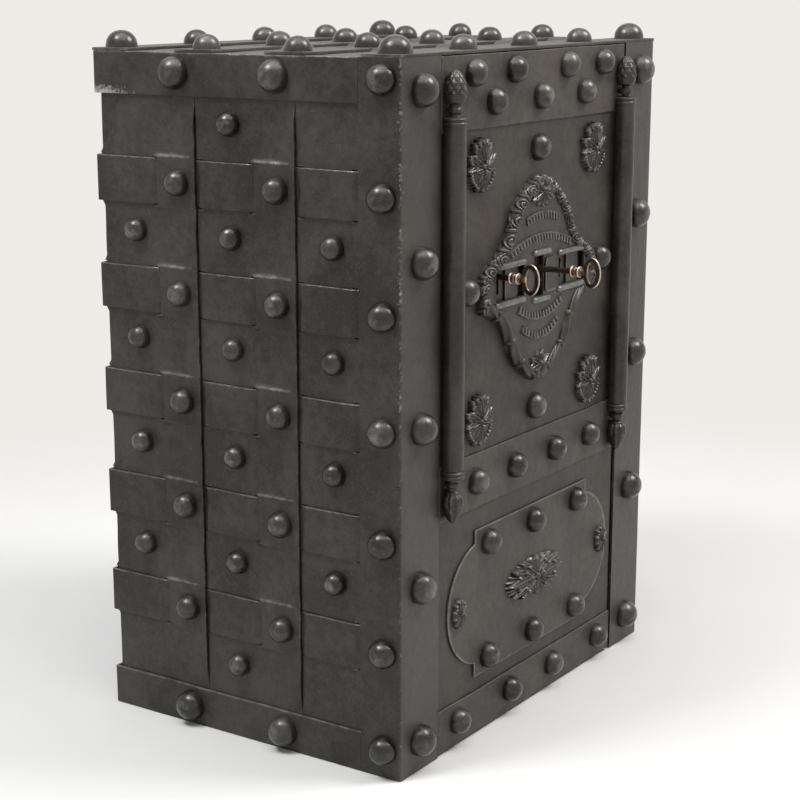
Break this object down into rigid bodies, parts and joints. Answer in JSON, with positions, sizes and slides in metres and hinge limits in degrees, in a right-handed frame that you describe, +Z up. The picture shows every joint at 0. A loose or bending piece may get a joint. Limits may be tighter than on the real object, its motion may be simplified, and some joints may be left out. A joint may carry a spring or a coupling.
{
  "type": "studded iron safe",
  "caption": "Upright oak safe clad in woven iron straps with round-headed studs, a hinged front door, columns and a cast key medallion.",
  "frame": {"origin": "centre of the case's underside, on the surface that it stands on", "axes": "+Z up; the door faces -Y and swings about a vertical axis at its +X edge"},
  "size_m": [0.784, 0.6652, 1.027],
  "materials": {
    "iron": "old black paint over hammered sheet iron, satin",
    "door_iron": "old brown-black paint, satin",
    "cast_iron": "blackened cast iron",
    "bolt_steel": "filed and oiled",
    "key_steel": "dark worn steel with bright rims",
    "oak": "old oak, unvarnished"
  },
  "bodies": {
    "case": {"left_wall": "oak", "right_wall": "oak", "back_wall": "oak", "roof_board": "oak", "floor_board": "oak", "left_post": "oak", "right_post": "oak", "shelf": "oak", "shelf_cleat_left": "oak", "shelf_cleat_right": "oak", "bottom_plate": "iron", "left_plate_rear": "iron", "left_plate_middle": "iron", "left_plate_front": "iron", "right_plate_rear": "iron", "right_plate_middle": "iron", "right_plate_front": "iron", "back_plate_1": "iron", "back_plate_2": "iron", "back_plate_3": "iron", "woven_band_1": "iron", "woven_band_2": "iron", "woven_band_3": "iron", "woven_band_4": "iron", "woven_band_5": "iron", "top_side_band": "iron", "bottom_side_band": "iron", "left_corner_plate": "iron", "right_corner_plate": "iron", "top_plate": "iron", "top_woven_band_1": "iron", "top_woven_band_2": "iron", "top_front_band": "iron", "top_rear_band": "iron", "upper_hinge_arm": "iron", "lower_hinge_arm": "iron"},
    "door": {"door_face_plate": "door_iron", "door_core": "oak", "door_inner_sheet": "iron", "door_upper_band": "door_iron", "door_lower_band": "door_iron", "door_foot_band": "door_iron", "cartouche_plate": "door_iron", "cartouche_ornament": "cast_iron", "rosette_upper_left": "cast_iron", "rosette_upper_right": "cast_iron", "rosette_lower_left": "cast_iron", "rosette_lower_right": "cast_iron", "left_column": "cast_iron", "hinge_column": "cast_iron", "medallion": "cast_iron", "lock_case": "iron"},
    "left_key_cover": {"left_key_cover": "cast_iron"},
    "middle_key_cover": {"middle_key_cover": "cast_iron"},
    "right_key_cover": {"right_key_cover": "cast_iron"},
    "main_bolt": {"main_bolt": "bolt_steel"},
    "middle_bolt": {"middle_bolt": "bolt_steel"},
    "right_bolt": {"right_bolt": "bolt_steel"},
    "left_key": {"left_key": "key_steel"},
    "middle_key": {"middle_key": "key_steel"}
  },
  "joints": [
    {"name": "door_swing", "type": "hinge", "parent": "case", "child": "door", "pos_m": [0.2495, -0.2755, 0.5], "axis": [0, 0, 1], "range_deg": [0, 110]},
    {"name": "left_key_turn", "type": "hinge", "parent": "door", "child": "left_key", "pos_m": [-0.10997, -0.25, 0.68], "axis": [0, -1, 0], "range_deg": [0, 360]},
    {"name": "main_bolt_throw", "type": "slide", "parent": "door", "child": "main_bolt", "axis": [-1, 0, 0], "range_m": [0, 0.026]},
    {"name": "middle_key_push", "type": "slide", "parent": "door", "child": "middle_key", "axis": [0, 1, 0], "range_m": [0, 0.043]},
    {"name": "middle_bolt_throw", "type": "slide", "parent": "door", "child": "middle_bolt", "axis": [-1, 0, 0], "range_m": [0, 0.026]},
    {"name": "right_bolt_throw", "type": "slide", "parent": "door", "child": "right_bolt", "axis": [-1, 0, 0], "range_m": [0, 0.026]},
    {"name": "left_cover_slide", "type": "slide", "parent": "door", "child": "left_key_cover", "axis": [1, 0, 0], "range_m": [-0.01, 0.009]},
    {"name": "middle_cover_slide", "type": "slide", "parent": "door", "child": "middle_key_cover", "axis": [1, 0, 0], "range_m": [-0.012, 0]},
    {"name": "right_cover_slide", "type": "slide", "parent": "door", "child": "right_key_cover", "axis": [1, 0, 0], "range_m": [-0.033, 0.009]}
  ],
  "couplings": [
    {"joint": "left_key_turn", "follows": "main_bolt_throw", "rad_per_m": 241.66}
  ]
}
